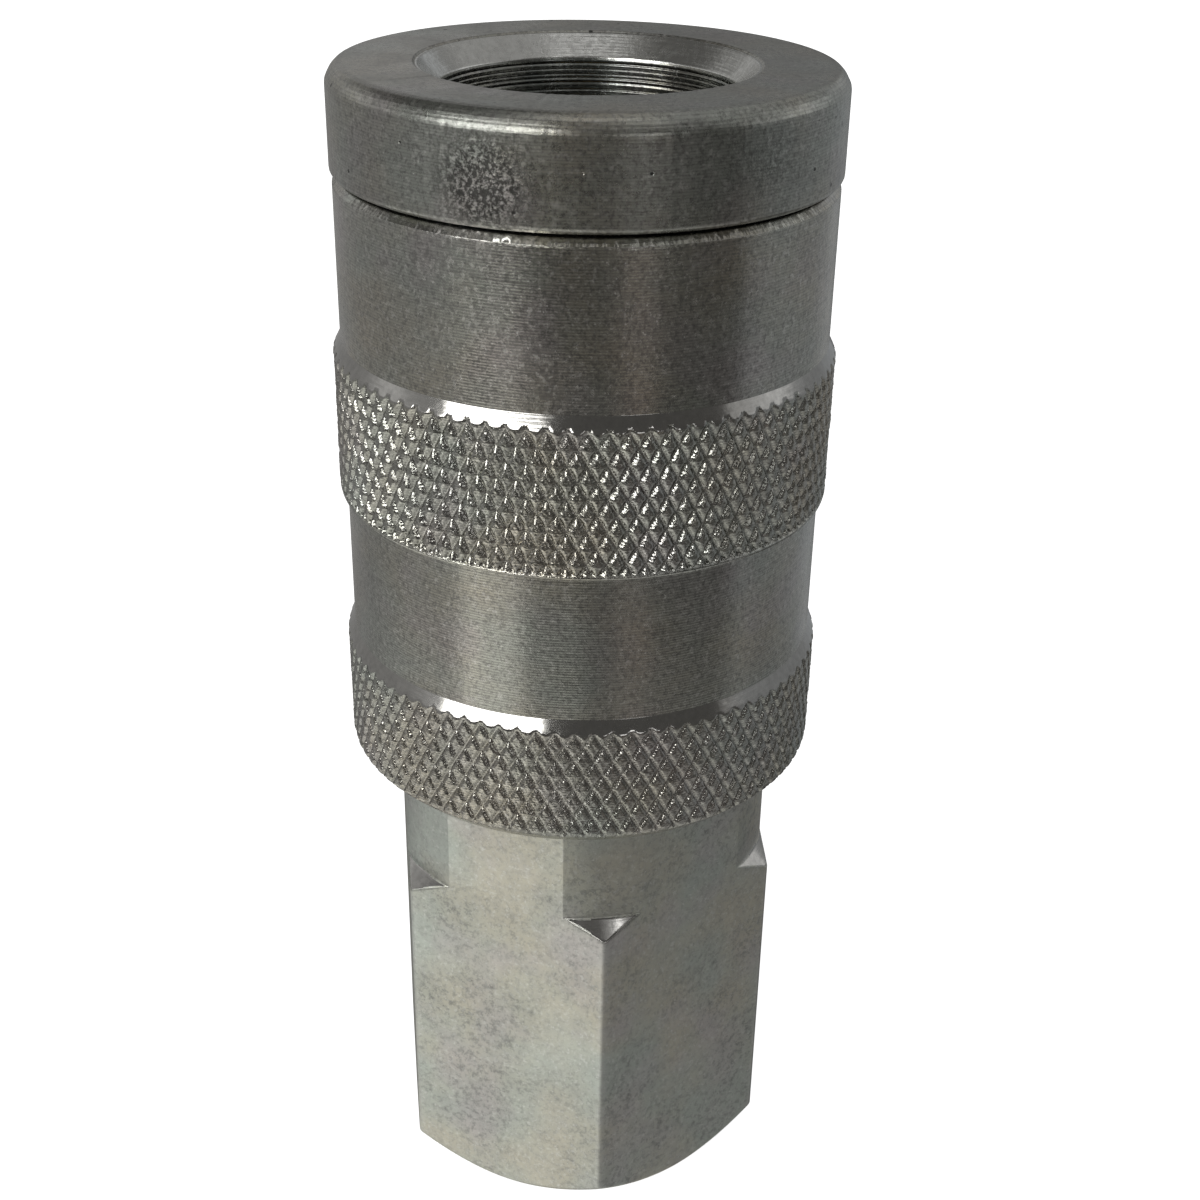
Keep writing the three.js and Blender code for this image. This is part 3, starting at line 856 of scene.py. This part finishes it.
def make_poppet():
    low, high = POPPET_LOW.z, POPPET_HIGH.z
    stem, head, tube_outer, tube_inner = 2.0, 8.9, 7.3, 5.9
    head_low, head_high, floor, window_middle = low + 16.1, low + 19.4, low + 20.5, low + 24.4
    outline = [(0, low), (stem, low), (stem, head_low), (head, head_low), (head, head_high),
               (tube_outer, head_high), (tube_outer, high), (tube_inner, high), (tube_inner, floor),
               (0, floor)]
    piece = turned_plug("turned_poppet", outline, columns=96, setback=0.2)

    def lengthwise(shape):
        return [edge for edge in shape.edges if abs((edge.verts[0].co - edge.verts[1].co).x) > 10 * MM]

    for quarter in range(2):
        window = rounded_block("window", size_mm=(16.2, 5.0, 4.2), edges=lengthwise, offset_mm=1.6,
                               segments=6, turn=quarter * math.pi / 2, shift_mm=(0, 0, window_middle))
        boolean(piece, window, "DIFFERENCE")
    sharpen_by_angle(piece)
    return finish_piece(piece, "valve_poppet", "valve", "turned_brass")


def make_guide():
    low, high = GUIDE_LOW.z, GUIDE_HIGH.z

    def band(name, inner, outer, columns):
        return turned(name, [(inner, low), (outer, low), (outer, high), (inner, high)], columns=columns)

    def every(shape):
        return shape.edges[:]

    piece = band("valve_spider", 9.3, 11.7, columns=144)
    boolean(piece, band("hub", 2.3, 3.6, columns=72), "UNION")
    for third in range(3):
        spoke = rounded_block("spoke", size_mm=(7.1, 2.4, high - low - 0.3), edges=every, offset_mm=0.25,
                              segments=3, turn=third * 2 * math.pi / 3, shift_mm=(6.4, 0, (low + high) / 2))
        boolean(piece, spoke, "UNION")
    sharpen_by_angle(piece)
    return finish_piece(piece, "valve_guide", "root", "turned_brass")


def ring_from_box(name, node, inner_radius, setback):
    """A ring as wide and as high as a CAD node's box, with rounded corners."""
    low, high = cad_box(node)
    outline = [(inner_radius, low.z), (high.x, low.z), (high.x, high.z), (inner_radius, high.z)]
    return turned(name, outline, columns=192, setback=setback)


def o_ring(name, node, section, columns=144, sides=20):
    """A round ring of a section's radius, as wide as a CAD node's box."""
    low, high = cad_box(node)
    around = np.linspace(0, 2 * math.pi, sides, endpoint=False)
    angles = np.linspace(0, 2 * math.pi, columns, endpoint=False)
    radii = np.repeat((high.x - section + section * np.cos(around))[:, None], columns, axis=1)
    heights = np.repeat(((low.z + high.z) / 2 + section * np.sin(around))[:, None], columns, axis=1)
    return skin(name, radii, heights, angles)


def make_seals():
    washer = ring_from_box("thrust_washer", "spring_thrust_washer", 12.55, 0.1)
    finish_piece(washer, "spring_thrust_washer", "spring_washer", "spring_wire")
    lip = ring_from_box("plug_lip_seal", "plug_seal", 9.25, 0.5)
    finish_piece(lip, "plug_seal", "root", "nitrile_rubber")
    backup = ring_from_box("backup_ring", "seal_backup_washer", 9.8, 0.12)
    finish_piece(backup, "seal_backup_washer", "root", "white_fluoroplastic")
    face = ring_from_box("poppet_face_seal", "valve_face_seal", 7.45, 0.35)
    finish_piece(face, "valve_face_seal", "valve", "nitrile_rubber")
    finish_piece(o_ring("static_o_ring", "body_o_ring", 0.72), "body_o_ring", "root", "nitrile_rubber")


def make_springs():
    """Both coils stand on their CAD springs' feet and reach the tops of their boxes. Each row's joint and
    its travel in mm are not used.
    """
    for name, node, joint, travel, radius, wire, turns in (
        ("sleeve_return_coil", "sleeve_spring", "sleeve_slide", 6.0, 13.45, 0.75, 6.5),
        ("valve_return_coil", "valve_spring", "valve_slide", 5.0, 5.3, 0.5, 6),
    ):
        low, high = (corner.z for corner in cad_box(node))
        piece = coil(name, radius, wire, low, high, turns)
        finish_piece(piece, node, "root", "spring_wire")
        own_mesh(piece)


# --- Camera, light and floor ---------------------------------------------------------------------
# The camera's distance from the axis and height are in millimetres. It looks down by its pitch, and its
# pitch, roll and yaw are in radians.
CAMERA_AZIMUTH = math.radians(-7.31)
CAMERA_REACH = 113.82
CAMERA_HEIGHT = 104.25
CAMERA_PITCH = 0.477101
CAMERA_ROLL = 0.018494
CAMERA_YAW = 0.011888
CAMERA_LENS = 52.19


def make_camera():
    data = bpy.data.cameras.new("camera")
    data.lens = CAMERA_LENS
    data.sensor_width = 36
    data.clip_start, data.clip_end = 0.001, 20
    camera = bpy.data.objects.new("camera", data)
    bpy.context.scene.collection.objects.link(camera)
    forward = Vector((math.sin(CAMERA_YAW) * math.cos(CAMERA_PITCH),
                      math.cos(CAMERA_YAW) * math.cos(CAMERA_PITCH), -math.sin(CAMERA_PITCH)))
    right = forward.cross(Vector((0, 0, 1))).normalized()
    up = right.cross(forward)
    cos_roll, sin_roll = math.cos(CAMERA_ROLL), math.sin(CAMERA_ROLL)
    rolled_right = right * cos_roll + up * sin_roll
    rolled_up = up * cos_roll - right * sin_roll
    basis = Matrix((rolled_right, rolled_up, -forward)).transposed().to_4x4()
    place = Matrix.Translation(Vector((0, -CAMERA_REACH, CAMERA_HEIGHT)) * MM)
    camera.matrix_world = Matrix.Rotation(CAMERA_AZIMUTH, 4, "Z") @ place @ basis
    bpy.context.scene.camera = camera


def direction(azimuth_deg, elevation_deg):
    """A unit vector at an azimuth from the camera's side of the object and an elevation."""
    azimuth = math.radians(azimuth_deg) + CAMERA_AZIMUTH
    elevation = math.radians(elevation_deg)
    return Vector((math.sin(azimuth) * math.cos(elevation), -math.cos(azimuth) * math.cos(elevation),
                   math.sin(elevation)))


# Light that the metal mirrors. A panel is its azimuth and half width, its elevation and half height,
# how softly it ends, all in degrees, and its colour, which is added to what is there. Azimuths are
# measured from the camera's side of the object.
BACKDROP = (1, 1, 1)
WORLD_BASE = (0.10, 0.098, 0.094)
WORLD_PANELS = [
    # A window on the left, low enough to miss the guard's chamfer, the wall above it, and a dim one
    # further round
    (-42, 24, 22, 10, 2, (5.4, 5.4, 5.3)),
    (-45, 22, 50, 8, 8, (0.15, 0.147, 0.14)),
    (-102, 34, 21, 9, 4, (0.2, 0.2, 0.2)),
    # The room on the right: a low lamp, a lighter strip, a high lamp and the wall round it
    (24, 7, 7, 5, 3, (1.8, 1.8, 1.8)),
    (97, 28, 21, 8, 4, (0.38, 0.38, 0.38)),
    (33, 5, 53, 4, 2, (1.6, 1.6, 1.6)),
    (40, 22, 52, 10, 8, (0.22, 0.22, 0.22)),
    # The ceiling, a brighter band at its front, and a dim band below that
    (0, 180, 78, 8, 5, (0.26, 0.26, 0.26)),
    (0, 60, 70, 5, 4, (0.62, 0.62, 0.62)),
    (0, 24, 49, 5, 5, (0.08, 0.08, 0.08)),
    # Walls: two on the left, one on the right, and behind, with more light high on the right
    (-118, 60, -4, 24, 6, (0.20, 0.20, 0.20)),
    (-100, 50, -37, 9, 5, (0.16, 0.16, 0.16)),
    (118, 42, -6, 26, 8, (0.17, 0.18, 0.19)),
    (160, 26, -6, 26, 8, (0.05, 0.055, 0.06)),
    (180, 90, 22, 12, 10, (0.14, 0.14, 0.14)),
    (120, 60, 52, 20, 10, (0.26, 0.26, 0.26)),
    # The table below: brightest on the left and in a streak there, with fainter patches on the right,
    # and straight down
    (-64, 64, -46, 12, 8, (0.64, 0.64, 0.61)),
    (-45, 16, -31, 9, 4, (0.70, 0.69, 0.65)),
    (-42, 18, -47, 6, 4, (0.10, 0.10, 0.10)),
    (24, 8, -18, 14, 4, (0.10, 0.08, 0.075)),
    (50, 52, -46, 12, 8, (0.22, 0.22, 0.22)),
    (0, 180, -78, 20, 8, (0.42, 0.42, 0.40)),
]


def make_world():
    """Soft panels of light all round the object. Seen directly, the world is a plain white backdrop."""
    world = bpy.data.worlds.new("studio")
    bpy.context.scene.world = world
    world.use_nodes = True
    n = Graph(world.node_tree)

    def fade(gap, half, softness):
        start, end = math.radians(half - softness / 2), math.radians(half + softness / 2)
        return n.remap(gap, start, end, 1.0, 0.0, curve="SMOOTHSTEP")

    sight = n.add("ShaderNodeTexCoord").outputs["Generated"]
    level = n.vector("NORMALIZE", n.vector("MULTIPLY", sight, (1, 1, 0)))
    elevation = n.math("ARCSINE", n.add("ShaderNodeSeparateXYZ", {0: sight}).outputs[2])
    light = WORLD_BASE
    for azimuth, half_width, height, half_height, softness, colour in WORLD_PANELS:
        turn = n.math("ARCCOSINE", n.vector("DOT_PRODUCT", level, direction(azimuth, 0)))
        rise = n.math("ABSOLUTE", n.math("SUBTRACT", elevation, math.radians(height)))
        lit = n.math("MULTIPLY", fade(turn, half_width, softness), fade(rise, half_height, softness))
        light = n.vector("MULTIPLY_ADD", lit, colour, light)
    seen_directly = n.add("ShaderNodeLightPath").outputs["Is Camera Ray"]
    background = n.tree.nodes["Background"]
    n.feed(background.inputs["Color"], n.mix(seen_directly, light, BACKDROP))


FLOOR_SIZE = 8
FLOOR_DROP = 0.2 * MM
FLOOR_GLOW = 0.85


def make_floor():
    """A plain white floor just below the object, which the metal doesn't mirror."""
    bpy.ops.mesh.primitive_plane_add(size=FLOOR_SIZE, location=(0, 0, -FLOOR_DROP))
    floor = bpy.context.object
    floor.name = "floor"
    floor.visible_glossy = False
    material = bpy.data.materials.new("floor")
    material.use_nodes = True
    shader = material.node_tree.nodes["Principled BSDF"]
    shader.inputs["Base Color"].default_value = (0.9, 0.9, 0.9, 1)
    shader.inputs["Roughness"].default_value = 0.9
    shader.inputs["Specular IOR Level"].default_value = 0.0
    shader.inputs["Emission Color"].default_value = (1, 1, 1, 1)
    shader.inputs["Emission Strength"].default_value = FLOOR_GLOW
    floor.data.materials.append(material)


make_camera()
make_sleeve()
make_guard()
make_hexagon()
make_barrel()
for ball_number in BALL_NUMBERS:
    make_ball(ball_number)
make_poppet()
make_guide()
make_seals()
make_springs()
make_world()
make_floor()
bpy.context.scene.view_settings.view_transform = "Standard"
